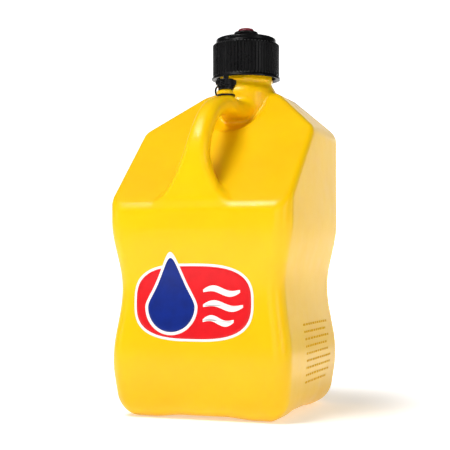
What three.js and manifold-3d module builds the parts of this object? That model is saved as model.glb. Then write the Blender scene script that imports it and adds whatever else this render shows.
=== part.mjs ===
// A square, blow-moulded polyethylene utility jug for fuel, about six US gallons to the brim.
// Millimetres, +Z up. The origin is on the floor, under the middle of the body. The front
// faces -Y, the filler neck stands towards the back (+Y), and the finger gap runs along X.
import * as THREE from 'three';
import { mergeVertices } from 'three/addons/utils/BufferGeometryUtils.js';
import Module from 'manifold-3d';

// ---------- driving dimensions ----------
const BODY_W = 250;            // across the upper bulge
const BODY_D = 272;            // front to back
const WALL = 3.5;              // moulded wall
const CORNER_R = 22;           // upright corners
const FLOOR_R = 30;            // rounding round the base
const GAP = 0.3;               // between pieces that touch

const LIP_Z = 277;             // where the front wall turns into the sloping shoulder
const SLOPE_RUN = 1.121;       // how far the shoulder goes back for each mm it rises
const EAVE_Z = 387;            // top edge of the side walls
const ROOF_RISE = 0.836;       // rise of the side roofs for each mm towards the middle
const TOP_Z = 450;             // flat top round the neck
const WAIST_SIDE = 12.5;       // how far the side walls pull in at the waist
const WAIST_FRONT = 7;         // the same at the front and back walls

const NECK_Y = 73.2;
const NECK_R = 38;
const NECK_BORE_R = 33.5;
const NECK_TOP = 522.5;
const THREAD_LEAD = 8;
const VENT_Y = -15.3;
const VENT_LEAD = 3;
const VENT_R = 7.2;
const VENT_BORE_R = 4.6;
const VENT_TOP = 452.5;

const CAP_RIM_Z = 470;
const CAP_RIB_TOP_Z = 522;
const CAP_PLATE_Z = 525.7;     // underside of the plate inside the cap
const CAP_EDGE_Z = 529.5;
const CAP_TOP_Z = 533.5;
const CAP_R = 48.6;            // over the ribs
const CAP_RIM_R = 50.2;
const CAP_BORE_R = 43;
const CAP_DISC_R = 43.8;
const CAP_RIBS = 60;
const RIB_DEPTH = 1.5;
const PORT_R = 9.3;            // hole through the cap's plate for the hose bushing
const NUT_TOP_Z = 523;

const FRONT_Y = -BODY_D / 2;
const BACK_Y = BODY_D / 2;
const HALF_W = BODY_W / 2;

// ---------- solids: loading, joining, cutting ----------
const wasm = await Module();
wasm.setup();

function solidOf(geometry) {
  const bare = geometry.clone();
  bare.deleteAttribute('normal');
  bare.deleteAttribute('uv');
  const merged = mergeVertices(bare, 1e-4);
  const vertProperties = new Float32Array(merged.attributes.position.array);
  const triVerts = new Uint32Array(merged.index.array);
  return new wasm.Manifold(new wasm.Mesh({ numProp: 3, vertProperties, triVerts }));
}

function geometryOf(solid) {
  const mesh = solid.getMesh();
  const geometry = new THREE.BufferGeometry();
  geometry.setAttribute('position', new THREE.BufferAttribute(new Float32Array(mesh.vertProperties), 3));
  geometry.setIndex(new THREE.BufferAttribute(new Uint32Array(mesh.triVerts), 1));
  return geometry;
}

// A closed skin through rings of equal length. Each end is closed by a fan round its middle,
// and a skin that comes out with its faces inwards is turned round.
function loft(rings) {
  const count = rings[0].length;
  const points = rings.flat();
  const faces = [];
  for (let level = 0; level + 1 < rings.length; level++) {
    for (let i = 0; i < count; i++) {
      const a = level * count + i;
      const b = level * count + (i + 1) % count;
      faces.push(a, b, b + count, a, b + count, a + count);
    }
  }
  for (const [start, turn] of [[0, 1], [(rings.length - 1) * count, -1]]) {
    const middle = new THREE.Vector3();
    for (let i = 0; i < count; i++) middle.addScaledVector(points[start + i], 1 / count);
    points.push(middle);
    for (let i = 0; i < count; i++) {
      const a = start + i;
      const b = start + (i + 1) % count;
      faces.push(points.length - 1, turn > 0 ? b : a, turn > 0 ? a : b);
    }
  }
  let volume = 0;
  for (let i = 0; i < faces.length; i += 3) {
    const [a, b, c] = [points[faces[i]], points[faces[i + 1]], points[faces[i + 2]]];
    volume += a.dot(b.clone().cross(c)) / 6;
  }
  if (volume < 0) faces.reverse();
  const geometry = new THREE.BufferGeometry();
  geometry.setAttribute('position', new THREE.Float32BufferAttribute(points.flatMap((p) => p.toArray()), 3));
  geometry.setIndex(faces);
  return geometry;
}

// A turned solid: the profile is a list of [radius, height] pairs on a closed or axis-ended line.
function turned(profile, segments, y = 0) {
  const outline = profile.map(([radius, height]) => new THREE.Vector2(radius, height));
  return new THREE.LatheGeometry(outline, segments).rotateX(Math.PI / 2).translate(0, y, 0);
}

function ring(inner, outer, low, high, segments, y) {
  return turned([[inner, low], [outer, low], [outer, high], [inner, high], [inner, low]], segments, y);
}

// A right-hand thread ridge: a trapezium carried up a helix, thinned to nothing at both ends.
function threadRidge({ root, crest, width, lead, turns, z, y, steps }) {
  const rings = [];
  const total = Math.round(steps * turns);
  for (let i = 0; i <= total; i++) {
    const angle = 2 * Math.PI * i / steps;
    const rise = z + lead * i / steps;
    const fade = Math.min(1, Math.min(i, total - i) / (steps / 8) + 0.05);
    const tip = root + (crest - root) * fade;
    const at = (radius, height) => new THREE.Vector3(
      radius * Math.cos(angle), y + radius * Math.sin(angle), height);
    const bed = root - Math.sign(crest - root) * 0.6;
    const corners = [
      at(bed, rise - width / 2), at(tip, rise - width / 4),
      at(tip, rise + width / 4), at(bed, rise + width / 2)];
    rings.push(crest > root ? corners.reverse() : corners);
  }
  return loft(rings);
}

// ---------- body ----------
// Smooth travel between given [height, value] stations, level at each of them.
function eased(stations, z) {
  if (z <= stations[0][0]) return stations[0][1];
  for (let i = 1; i < stations.length; i++) {
    const [z0, v0] = stations[i - 1];
    const [z1, v1] = stations[i];
    if (z <= z1) return v0 + (v1 - v0) * (1 - Math.cos(Math.PI * (z - z0) / (z1 - z0))) / 2;
  }
  return stations.at(-1)[1];
}

const SIDE_PULL = [[0, 9], [75, 2], [170, WAIST_SIDE], [262, 0]];
const FRONT_PULL = [[0, 8], [75, 2], [165, WAIST_FRONT], [255, 0]];

function floorPull(z) {
  const lift = Math.min(z, FLOOR_R);
  return FLOOR_R - Math.sqrt(Math.max(0, FLOOR_R ** 2 - (FLOOR_R - lift) ** 2));
}

// Limits of the level section at height z: half width, front and back.
function limits(z) {
  const floor = floorPull(z);
  const side = HALF_W - eased(SIDE_PULL, z) - floor;
  const front = FRONT_Y + eased(FRONT_PULL, z) + floor;
  return {
    half: Math.min(side, HALF_W - (z - EAVE_Z) / ROOF_RISE),
    front: Math.max(front, FRONT_Y + (z - LIP_Z) * SLOPE_RUN),
    back: BACK_Y - eased(FRONT_PULL, z) - floor,
  };
}

function bodyRing(z, inset, height = z) {
  const { half, front, back } = limits(z);
  const slopeInset = z > LIP_Z ? inset * 1.5 : inset;
  const roofInset = z > EAVE_Z ? inset * 1.55 : inset;
  const x = half - roofInset;
  const y0 = front + slopeInset;
  const y1 = back - inset;
  const radius = Math.min(CORNER_R, FLOOR_R + half) - inset * 0.8;
  const points = [];
  const corners = [[x, y1, 0], [-x, y1, 1], [-x, y0, 2], [x, y0, 3]];
  for (const [cx, cy, quarter] of corners) {
    const mx = cx - Math.sign(cx) * radius;
    const my = quarter < 2 ? cy - radius : cy + radius;
    for (let i = 0; i <= 5; i++) {
      const angle = (quarter + i / 5) * Math.PI / 2;
      points.push(new THREE.Vector3(mx + radius * Math.cos(angle), my + radius * Math.sin(angle), height));
    }
  }
  return points;
}

const MIDDLE_LEVELS = [
  18, 30, 50, 75, 98, 120, 145, 170, 195, 218, 240, 262, LIP_Z, 300, 330, 360, EAVE_Z, 410, 430];

function bodySolid() {
  const levels = [0, 4, 10, ...MIDDLE_LEVELS, TOP_Z];
  return solidOf(loft(levels.map((z) => bodyRing(z, 0))));
}

// The room inside the walls. Its floor clears the pushed-up base.
const INNER_FLOOR_Z = 7.5;

function hollowSolid() {
  const floor = bodyRing(10, WALL, INNER_FLOOR_Z);
  return solidOf(loft([floor, ...[...MIDDLE_LEVELS, TOP_Z - 4].map((z) => bodyRing(z, WALL))]));
}

// ---------- carrying handle ----------
// Stations up the handle: middle line (depth behind the front wall, height), sideways
// place, half width and half thickness. The foot spreads into the front wall.
const HANDLE = [
  { depth: 17, z: 262, x: -7, wide: 58, thick: 13 },
  { depth: 17, z: 280, x: -7, wide: 50, thick: 13 },
  { depth: 17, z: 297, x: -7, wide: 38, thick: 13 },
  { depth: 17, z: 312, x: -6, wide: 29, thick: 13 },
  { depth: 17, z: 328, x: -5, wide: 21.5, thick: 13 },
  { depth: 18, z: 347, x: -3.5, wide: 16, thick: 13 },
  { depth: 25, z: 370, x: -1, wide: 14, thick: 13 },
  { depth: 43, z: 394, x: 0, wide: 13.5, thick: 12.5 },
  { depth: 64, z: 408, x: 0, wide: 13.5, thick: 12.5 },
  { depth: 90, z: 417, x: 0, wide: 14, thick: 12.5 },
  { depth: 121, z: 419.5, x: 0, wide: 16, thick: 12.5 },
  { depth: 150, z: 419.5, x: 0, wide: 19, thick: 13 },
  { depth: 186, z: 421, x: 0, wide: 26, thick: 14 },
];

function handleSolid(inset) {
  const middle = new THREE.CatmullRomCurve3(
    HANDLE.map((s) => new THREE.Vector3(s.x, FRONT_Y + s.depth, s.z)), false, 'centripetal');
  const steps = HANDLE.length - 1;
  const rings = HANDLE.map((station, i) => {
    const along = middle.getTangent(i / steps).setX(0).normalize();
    const out = new THREE.Vector3(0, -along.z, along.y);
    const wide = station.wide - inset;
    const thick = station.thick - inset;
    const round = Math.min(11 - inset * 0.6, thick);
    const points = [];
    for (let k = 0; k < 16; k++) {
      const quarter = Math.floor(k / 4);
      const angle = (quarter + (k % 4) / 3) * Math.PI / 2;
      const sideX = quarter === 0 || quarter === 3 ? 1 : -1;
      const sideT = quarter < 2 ? 1 : -1;
      const x = sideX * (wide - round) + round * Math.cos(angle);
      const t = sideT * (thick - round) + round * Math.sin(angle);
      const centre = new THREE.Vector3(station.x + x, FRONT_Y + station.depth, station.z);
      points.push(centre.addScaledVector(out, t));
    }
    return points;
  });
  return solidOf(loft(rings));
}

// ---------- the tank ----------
function neckSolid() {
  return solidOf(turned([
    [0, 405], [44.5, 405], [44.5, 448], [43, 454], [40, 458.5], [NECK_R, 462], [NECK_R, 465],
    [40, 466.5], [40, 468.5], [NECK_R, 470], [NECK_R, NECK_TOP - 1], [NECK_R - 1, NECK_TOP], [0, NECK_TOP],
  ], 56, NECK_Y));
}

function ventSpoutSolid() {
  return solidOf(turned([
    [0, 415], [15, 415], [15, 430], [12.5, 432.5], [10.3, 433.5], [10.3, 442],
    [VENT_R, 442.4], [VENT_R, VENT_TOP], [0, VENT_TOP],
  ], 28, VENT_Y));
}

// The finger pocket in the shoulder under the neck: an egg lying along the slope. Grown by a
// wall, it is also the lump that the pocket makes in the hollow.
const POCKET = { depth: 172, z: 430, halfWide: 38, halfLong: 60, halfDeep: 19 };

function fingerPocket(grown, segments, rows) {
  const egg = new THREE.SphereGeometry(1, segments, rows)
    .scale(POCKET.halfWide + grown, POCKET.halfLong + grown, POCKET.halfDeep + grown)
    .rotateX(Math.atan2(1, SLOPE_RUN));
  return solidOf(egg.translate(0, FRONT_Y + POCKET.depth, POCKET.z));
}

// The base is pushed up in the middle, so the jug stands on its outer band.
function basePushUp() {
  const half = [HALF_W - 62, BODY_D / 2 - 64];
  const rings = [[0, -5], [0, 0], [8, 6]].map(([inset, height]) => {
    const points = [];
    for (let i = 0; i < 24; i++) {
      const angle = 2 * Math.PI * i / 24;
      const bend = (value) => Math.sign(value) * Math.sqrt(Math.abs(value));
      points.push(new THREE.Vector3(
        (half[0] - inset) * bend(Math.cos(angle)), (half[1] - inset) * bend(Math.sin(angle)), height));
    }
    return points;
  });
  return solidOf(loft(rings));
}

// Nine rows of plain raised bars low on the right-hand wall.
const BAR_ROWS = 9;
const BAR_LOW_Z = 45;
const BAR_HIGH_Z = 121;
const BAR_DEPTHS = [92, 220];
const BAR_STAND = 0.8;

function barSolid(row) {
  const z = BAR_LOW_Z + (BAR_HIGH_Z - BAR_LOW_Z) * row / (BAR_ROWS - 1);
  const length = BAR_DEPTHS[1] - BAR_DEPTHS[0];
  const bar = new THREE.BoxGeometry(2, length, 3.4);
  bar.translate(limits(z).half + BAR_STAND - 1, FRONT_Y + (BAR_DEPTHS[0] + BAR_DEPTHS[1]) / 2, z);
  return solidOf(bar);
}

function tankGeometry() {
  let tank = bodySolid().subtract(fingerPocket(0, 28, 16)).subtract(basePushUp());
  tank = tank.add(neckSolid()).add(handleSolid(0)).add(ventSpoutSolid());
  tank = tank.add(solidOf(threadRidge({
    root: NECK_R, crest: 41.4, width: 3, lead: THREAD_LEAD, turns: 2, z: 480, y: NECK_Y, steps: 40,
  })));
  tank = tank.add(solidOf(threadRidge({
    root: VENT_R, crest: 8.3, width: 1.2, lead: VENT_LEAD, turns: 1.5, z: 445, y: VENT_Y, steps: 20,
  })));
  for (let row = 0; row < BAR_ROWS; row++) tank = tank.add(barSolid(row));

  let hollow = hollowSolid().subtract(fingerPocket(4, 20, 12));
  const bore = solidOf(turned([[0, 380], [NECK_BORE_R, 380], [NECK_BORE_R, 540], [0, 540]], 48, NECK_Y));
  const ventBore = solidOf(turned(
    [[0, 418], [VENT_BORE_R, 418], [VENT_BORE_R, 460], [0, 460]], 16, VENT_Y));
  hollow = hollow.add(bore).add(ventBore).add(handleSolid(4.5));
  return geometryOf(tank.subtract(hollow));
}

// ---------- filler cap and what it carries ----------
function ribbedOutline(outer, depth, ribs) {
  const outline = new THREE.Shape();
  for (let i = 0; i < ribs * 4; i++) {
    const angle = 2 * Math.PI * i / (ribs * 4);
    const radius = i % 4 < 2 ? outer : outer - depth;
    if (i === 0) outline.moveTo(radius, 0);
    else outline.lineTo(radius * Math.cos(angle), radius * Math.sin(angle));
  }
  outline.closePath();
  return outline;
}

function ribbedDrum(outer, depth, ribs, low, high, y) {
  const drum = new THREE.ExtrudeGeometry(
    ribbedOutline(outer, depth, ribs), { depth: high - low, bevelEnabled: false });
  return solidOf(drum.translate(0, y, low));
}

function fillerCapGeometry() {
  const skirt = ribbedDrum(CAP_R, RIB_DEPTH, CAP_RIBS, CAP_RIM_Z + 3, CAP_RIB_TOP_Z, NECK_Y);
  const core = solidOf(turned([
    [0, CAP_RIM_Z], [CAP_RIM_R, CAP_RIM_Z], [CAP_RIM_R, CAP_RIM_Z + 2.5],
    [CAP_R - RIB_DEPTH, CAP_RIM_Z + 4.5],
    [CAP_R - RIB_DEPTH, CAP_RIB_TOP_Z + 0.5], [CAP_DISC_R, CAP_RIB_TOP_Z + 2], [CAP_DISC_R, CAP_EDGE_Z],
    [CAP_DISC_R - 3, CAP_EDGE_Z + 1.8], [22, CAP_TOP_Z], [0, CAP_TOP_Z],
  ], 64, NECK_Y));
  const bore = solidOf(turned(
    [[0, 460], [CAP_BORE_R, 460], [CAP_BORE_R, CAP_PLATE_Z], [0, CAP_PLATE_Z]], 56, NECK_Y));
  const port = solidOf(turned([[0, 500], [PORT_R, 500], [PORT_R, 560], [0, 560]], 28, NECK_Y));
  const thread = solidOf(threadRidge({
    root: CAP_BORE_R, crest: 39.9, width: 3, lead: THREAD_LEAD, turns: 2, z: 484, y: NECK_Y, steps: 40,
  }));
  return geometryOf(skirt.add(core).subtract(bore).subtract(port).add(thread));
}

function bushingGeometry() {
  const low = CAP_TOP_Z + GAP;
  return turned([
    [7.8, 512], [9, 512], [9, low], [15, low], [15.5, 537], [17.6, 537.6], [17.6, 540.2], [16.4, 541],
    [7.8, 541], [7.8, 512],
  ], 32, NECK_Y);
}

function nutGeometry() {
  const hexagon = new THREE.Shape();
  for (let i = 0; i < 6; i++) {
    const angle = Math.PI / 3 * i;
    const corner = [17 * Math.cos(angle), 17 * Math.sin(angle)];
    if (i === 0) hexagon.moveTo(...corner);
    else hexagon.lineTo(...corner);
  }
  hexagon.closePath();
  hexagon.holes.push(new THREE.Path().absarc(0, 0, PORT_R, 0, 2 * Math.PI, true));
  const height = 6;
  const nut = new THREE.ExtrudeGeometry(hexagon, { depth: height, bevelEnabled: false, curveSegments: 24 });
  return nut.translate(0, NECK_Y, NUT_TOP_Z - height);
}

function plugGeometry() {
  return turned([
    [0, 519], [6, 519], [7.4, 521], [7.4, 541.3], [11.9, 541.3], [11.9, 543.2], [10.4, 545.2], [6.5, 546.4],
    [0, 546.8],
  ], 28, NECK_Y);
}

// ---------- vent cap and tether ----------
const VENT_CAP = { rim: 443, shelf: 449.8, plate: 454.6, top: 458, bodyR: 11.4, bore: 8.9 };
const WING = { span: 29, thick: 5, turn: 0.34 };  // two finger wings across the vent cap

function ventCapGeometry() {
  const body = ribbedDrum(VENT_CAP.bodyR, 0.7, 18, VENT_CAP.shelf, VENT_CAP.top, VENT_Y);
  const skirt = solidOf(turned([
    [0, VENT_CAP.rim], [10.8, VENT_CAP.rim], [10.8, VENT_CAP.top - 2], [0, VENT_CAP.top - 2],
  ], 36, VENT_Y));
  const wingHeight = VENT_CAP.top - 1 - VENT_CAP.shelf;
  const wings = solidOf(new THREE.BoxGeometry(WING.span, WING.thick, wingHeight)
    .rotateZ(WING.turn).translate(0, VENT_Y, VENT_CAP.shelf + wingHeight / 2));
  const knob = solidOf(turned([[0, 456], [3.9, 456], [3.9, 463.8], [3, 464.6], [0, 464.6]], 16, VENT_Y));
  const bore = solidOf(turned(
    [[0, 440], [VENT_CAP.bore, 440], [VENT_CAP.bore, VENT_CAP.plate], [0, VENT_CAP.plate]], 24, VENT_Y));
  const thread = solidOf(threadRidge({
    root: VENT_CAP.bore, crest: 7.8, width: 1.2, lead: VENT_LEAD, turns: 1.5, z: 446.5, y: VENT_Y,
    steps: 20,
  }));
  return geometryOf(body.add(skirt).add(wings).add(knob).subtract(bore).add(thread));
}

// One soft moulding: a ring round the spout, a strap up its left side, a ring round the cap.
function tetherGeometry() {
  const lower = solidOf(ring(10.7, 13, 434, 436.6, 28, VENT_Y));
  const upper = solidOf(ring(11.4, 13.2, 446.8, 449.4, 28, VENT_Y));
  const route = [[12, 435.3], [14.2, 436.8], [15.4, 440], [15.4, 444.2], [14.2, 447.2], [12.4, 448.1]];
  const rings = route.map(([radius, z], i) => {
    const before = route[Math.max(0, i - 1)];
    const after = route[Math.min(route.length - 1, i + 1)];
    const along = new THREE.Vector2(after[0] - before[0], after[1] - before[1]).normalize();
    const corner = (side, face) => new THREE.Vector3(
      -radius + along.y * face, VENT_Y + side * 2.2, z + along.x * face);
    return [corner(1, 1), corner(-1, 1), corner(-1, -1), corner(1, -1)].reverse();
  });
  return geometryOf(lower.add(upper).add(solidOf(loft(rings))));
}

// ---------- front decal ----------
const DECAL = { x: -5, z: 160, halfWide: 82, halfHigh: 58, thick: 0.5, corner: 26 };

function decalGeometry() {
  const rows = 24;
  const rings = [];
  for (let i = 0; i <= rows; i++) {
    const t = -1 + 2 * i / rows;
    const z = DECAL.z + DECAL.halfHigh * t;
    const past = Math.max(0, Math.abs(DECAL.halfHigh * t) - (DECAL.halfHigh - DECAL.corner));
    const half = DECAL.halfWide - DECAL.corner + Math.sqrt(Math.max(0, DECAL.corner ** 2 - past ** 2));
    const behind = limits(z).front - GAP;
    const [left, right] = [DECAL.x - half, DECAL.x + half];
    rings.push([
      new THREE.Vector3(left, behind, z), new THREE.Vector3(left, behind - DECAL.thick, z),
      new THREE.Vector3(right, behind - DECAL.thick, z), new THREE.Vector3(right, behind, z)]);
  }
  return loft(rings);
}

// ---------- the jug, piece by piece ----------
const jug = new THREE.Group();

function add(name, geometry, color, roughness) {
  const mesh = new THREE.Mesh(geometry, new THREE.MeshStandardMaterial({ color, roughness, metalness: 0 }));
  mesh.name = name;
  jug.add(mesh);
}

const BLACK = 0x17171a;
const RUBBER = 0x2b2b2b;
add('tank_body', tankGeometry(), 0xf7c400, 0.4);
add('filler_cap', fillerCapGeometry(), BLACK, 0.45);
add('cap_gasket', ring(34.5, 42, NECK_TOP + GAP, CAP_PLATE_Z - GAP, 40, NECK_Y), RUBBER, 0.8);
add('hose_bushing', bushingGeometry(), BLACK, 0.45);
add('bushing_washer', ring(PORT_R, 15.5, NUT_TOP_Z + GAP, CAP_PLATE_Z - GAP, 28, NECK_Y), RUBBER, 0.8);
add('bushing_nut', nutGeometry(), BLACK, 0.5);
add('port_plug', plugGeometry(), 0x6e0f1e, 0.4);
add('vent_cap', ventCapGeometry(), BLACK, 0.45);
add('vent_gasket', ring(5, 7.9, VENT_TOP + GAP, VENT_CAP.plate - GAP, 24, VENT_Y), RUBBER, 0.8);
add('vent_tether', tetherGeometry(), BLACK, 0.5);
add('front_decal', decalGeometry(), 0xd8202c, 0.35);

export default jug;
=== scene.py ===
# %% [markdown]
# # A square blow-moulded fuel jug
#
# The real jug is one thin polyethylene shell with a handle, a neck and a vent spout moulded
# into it. Two ribbed screw caps, their seals, a stopper and a soft tether are separate pieces,
# and a printed film is stuck to the front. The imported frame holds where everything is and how
# it moves. This script makes the fine surfaces and the finishes around it.

# %% Load the frame
import math

import bpy
import numpy as np
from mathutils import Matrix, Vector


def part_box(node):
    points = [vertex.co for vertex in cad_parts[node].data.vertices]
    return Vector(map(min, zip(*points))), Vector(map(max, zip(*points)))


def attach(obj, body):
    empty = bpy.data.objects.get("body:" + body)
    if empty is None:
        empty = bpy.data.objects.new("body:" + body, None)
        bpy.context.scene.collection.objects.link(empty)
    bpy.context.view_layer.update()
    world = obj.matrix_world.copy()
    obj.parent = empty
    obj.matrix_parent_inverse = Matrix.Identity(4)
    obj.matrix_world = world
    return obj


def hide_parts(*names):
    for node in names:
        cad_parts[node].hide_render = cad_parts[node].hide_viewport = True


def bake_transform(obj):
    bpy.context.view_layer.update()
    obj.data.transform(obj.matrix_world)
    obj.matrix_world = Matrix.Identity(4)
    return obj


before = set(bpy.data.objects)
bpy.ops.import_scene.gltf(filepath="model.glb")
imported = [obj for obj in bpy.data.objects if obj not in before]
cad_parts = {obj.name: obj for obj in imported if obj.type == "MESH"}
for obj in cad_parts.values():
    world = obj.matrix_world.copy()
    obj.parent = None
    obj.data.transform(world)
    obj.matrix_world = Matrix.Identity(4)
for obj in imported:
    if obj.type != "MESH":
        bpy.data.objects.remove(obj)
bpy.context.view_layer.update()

import openvdb

# %% [markdown]
# Everything below is worked out in millimetres, as the jug's maker would, and put into Blender's
# metres at the last moment. A few places come straight from the frame's nodes.

# %% Places from the frame
MM = 0.001


def node_box(name):
    """Lowest and highest corner of a frame node, in millimetres."""
    low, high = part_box(name)
    return np.array(low) / MM, np.array(high) / MM


tank_low, tank_high = node_box("tank_body")
cap_low, cap_high = node_box("filler_cap")
vent_low, vent_high = node_box("vent_cap")
HALF_W = tank_high[0]
FRONT_Y = tank_low[1]
NECK_TOP = tank_high[2]
NECK_Y = (cap_low[1] + cap_high[1]) / 2
VENT_Y = (vent_low[1] + vent_high[1]) / 2
CAP_RIM_Z = cap_low[2]
CAP_TOP_Z = cap_high[2]
print("neck axis at y", round(NECK_Y, 2), "vent axis at y", round(VENT_Y, 2))

# %% [markdown]
# ## Meshes from arrays
#
# A surface is a grid of points worked out by a formula. One function turns such a grid into a
# mesh, and can join its last column to its first, its last row to its first, and close its two
# open ends with a fan. A shell whose volume comes out negative has its faces turned round.


# %% Grid to mesh
def signed_volume(points, faces):
    """Sum of the volumes of the pyramids from the origin to each face, split as a triangle fan."""
    total = 0.0
    for k in range(1, faces.shape[1] - 1):
        a, b, c = points[faces[:, 0]], points[faces[:, k]], points[faces[:, k + 1]]
        total += np.einsum("ij,ij->i", a, np.cross(b, c)).sum() / 6
    return total


def mesh_object(name, points, quads, triangles=None):
    """A new object from points in millimetres, an array of quads and an array of triangles."""
    quads = np.asarray(quads, dtype=np.int64).reshape(-1, 4)
    triangles = np.zeros((0, 3), dtype=np.int64) if triangles is None else np.asarray(triangles)
    volume = signed_volume(points, quads) + signed_volume(points, triangles)
    if volume < 0:
        quads, triangles = quads[:, ::-1], triangles[:, ::-1]
    mesh = bpy.data.meshes.new(name)
    mesh.from_pydata((points * MM).tolist(), [], quads.tolist() + triangles.tolist())
    mesh.validate()
    mesh.shade_smooth()
    piece = bpy.data.objects.new(name, mesh)
    bpy.context.scene.collection.objects.link(piece)
    return piece


def grid_faces(rows, columns, close_rows, close_columns):
    """Quads of a rows by columns grid of points, closed on itself either way if asked."""
    r = np.arange(rows if close_rows else rows - 1)[:, None]
    c = np.arange(columns if close_columns else columns - 1)[None, :]
    r1, c1 = (r + 1) % rows, (c + 1) % columns
    quads = np.stack([r * columns + c, r * columns + c1, r1 * columns + c1, r1 * columns + c], -1)
    return quads.reshape(-1, 4)


def grid_object(name, grid, close_rows=False, close_columns=True, caps=True):
    """A mesh from a (rows, columns, 3) grid. With caps, a fan closes the first and the last row."""
    rows, columns = grid.shape[:2]
    points = grid.reshape(-1, 3)
    quads = grid_faces(rows, columns, close_rows, close_columns)
    triangles = []
    if caps and not close_rows:
        for row, turn in ((0, 1), (rows - 1, -1)):
            ring = row * columns + np.arange(columns)
            hub = np.full(columns, len(points))
            points = np.vstack([points, grid[row].mean(0)])
            triangles.append(np.stack([hub, np.roll(ring, -1), ring], -1)[:, ::turn])
        triangles = np.vstack(triangles)
    return mesh_object(name, points, quads, triangles if len(triangles) else None)


# %% [markdown]
# ## Turned and threaded shapes
#
# Caps, bushings and seals are turned: a profile goes round an axis. A sharp corner never leaves
# a mould, so the profile's corners are first rounded with small arcs. Grip ribs push the outer
# skin out and in as the angle goes round.


# %% Turned pieces
RING_STEPS = 96
RIB_SHARPNESS = 3.0


def softened(profile, radius, steps=4):
    """A closed [radius, height] outline with every corner replaced by an arc. The arc starts and
    ends one tangent length from the corner, at most 45% of the shorter side."""
    corners = np.asarray(profile, dtype=float)
    before = np.roll(corners, 1, 0) - corners
    after = np.roll(corners, -1, 0) - corners
    lengths = [np.linalg.norm(side, axis=1, keepdims=True) for side in (before, after)]
    before, after = before / lengths[0], after / lengths[1]
    reach = np.minimum(radius, 0.45 * np.minimum(*lengths))
    t = np.linspace(0, 1, steps + 1)[None, :, None]
    start, end = corners + before * reach, corners + after * reach
    curve = ((1 - t) ** 2 * start[:, None] + 2 * t * (1 - t) * corners[:, None] + t ** 2 * end[:, None])
    return curve.reshape(-1, 2)


def turned_grid(profile, segments, y, push=None):
    """Each profile point goes round the axis at (0, y). push(angle, radius, height) is added to
    the radius, so it can make ribs."""
    angle = np.linspace(0, 2 * np.pi, segments, endpoint=False)[None, :]
    radius, height = profile[:, :1], profile[:, 1:]
    rho = radius + (push(angle, radius, height) if push else 0)
    return np.stack([rho * np.cos(angle), y + rho * np.sin(angle), height + 0 * angle], -1)


def turned(name, profile, y, corner):
    """A plain turned ring whose closed outline doesn't touch the axis, with rounded corners."""
    return grid_object(name, turned_grid(softened(profile, corner), RING_STEPS, y), close_rows=True)


def rib_wave(angle, count):
    """Grip ribs, count of them in a turn: a cosine squeezed towards a square wave, 0 to 1."""
    return 0.5 + 0.5 * np.tanh(RIB_SHARPNESS * np.cos(count * angle)) / np.tanh(RIB_SHARPNESS)


def eased_step(value, start, end):
    """0 before start, 1 after end, and a smooth S between them."""
    t = np.clip((value - start) / (end - start), 0, 1)
    return t * t * (3 - 2 * t)


THREAD_STEPS = 72        # points along one turn
THREAD_FADE = 0.14       # turns over which a ridge rises and dies
THREAD_SUNK = 0.5        # how far the ridge's foot is sunk into its wall


def thread(name, y, low, lead, turns, root, crest, width):
    """A right-hand thread: a rounded ridge from the root radius to the crest radius, which climbs
    one lead for each turn round the axis. It rises from almost nothing and dies the same way."""
    along = np.linspace(0, turns, int(THREAD_STEPS * turns) + 1)[:, None]
    around = np.linspace(0, 2 * np.pi, 12, endpoint=False)[None, :]
    fade = eased_step(along, 0, THREAD_FADE) * (1 - eased_step(along, turns - THREAD_FADE, turns))
    foot = root - math.copysign(THREAD_SUNK, crest - root)
    out = np.clip(1.5 * np.cos(around), -0.2, 1)
    rho = foot + (crest - foot) * np.maximum(fade, 0.08) * out
    height = low + lead * along + width / 2 * np.sin(around) * (1 - 0.35 * np.clip(out, 0, 1))
    angle = 2 * np.pi * along
    ridge = np.stack([rho * np.cos(angle), y + rho * np.sin(angle), height + 0 * rho], -1)
    return grid_object(name, ridge)


# %% [markdown]
# ## The camera and the light
#
# The jug stands on a white sweep under soft lamps, seen a little from its right and from
# low down, so that the shoulders are looked up at. One small lamp makes the bright spot on
# the lip. The view transform is plain sRGB, because
# the jug's yellow should stay as saturated as its pigment. The room beyond the sweep is white to
# the camera, but lights the jug only a little, as a studio with black drapes does.

# %% Camera
CAMERA_TURN = math.radians(19.43)
CAMERA_TILT = math.radians(1.875)
CAMERA_BACK = 1.5445
CAMERA_UP = 0.2051
CAMERA_ASIDE = -0.0065
across = np.array([math.cos(CAMERA_TURN), math.sin(CAMERA_TURN), 0])
ahead = np.array([-math.sin(CAMERA_TURN), math.cos(CAMERA_TURN), 0])
camera_data = bpy.data.cameras.new("camera")
camera_data.lens = 88.4
camera_data.sensor_width = 36
camera = bpy.data.objects.new("camera", camera_data)
camera.location = across * CAMERA_ASIDE - ahead * CAMERA_BACK + np.array([0, 0, CAMERA_UP])
camera.rotation_euler = (math.radians(90) + CAMERA_TILT, 0, CAMERA_TURN)
bpy.context.scene.collection.objects.link(camera)
bpy.context.scene.camera = camera
bpy.context.scene.view_settings.view_transform = "Standard"
print("the camera stands", CAMERA_BACK, "m back and", CAMERA_UP, "m up, with a", camera_data.lens, "mm lens")


# %% Lamps and surroundings
def soft_lamp(name, place, aim, size, power):
    """A rectangular white lamp at place, in metres and watts, turned so that it shines at aim."""
    data = bpy.data.lights.new(name, "AREA")
    data.shape = "RECTANGLE"
    data.size, data.size_y = size
    data.energy = power
    lamp = bpy.data.objects.new(name, data)
    lamp.location = place
    toward = np.array(aim) - np.array(place)
    turn = math.atan2(-toward[0], toward[1])
    tilt = math.atan2(toward[2], np.hypot(toward[0], toward[1]))
    lamp.rotation_euler = (math.pi / 2 + tilt, 0, turn)
    bpy.context.scene.collection.objects.link(lamp)


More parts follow.
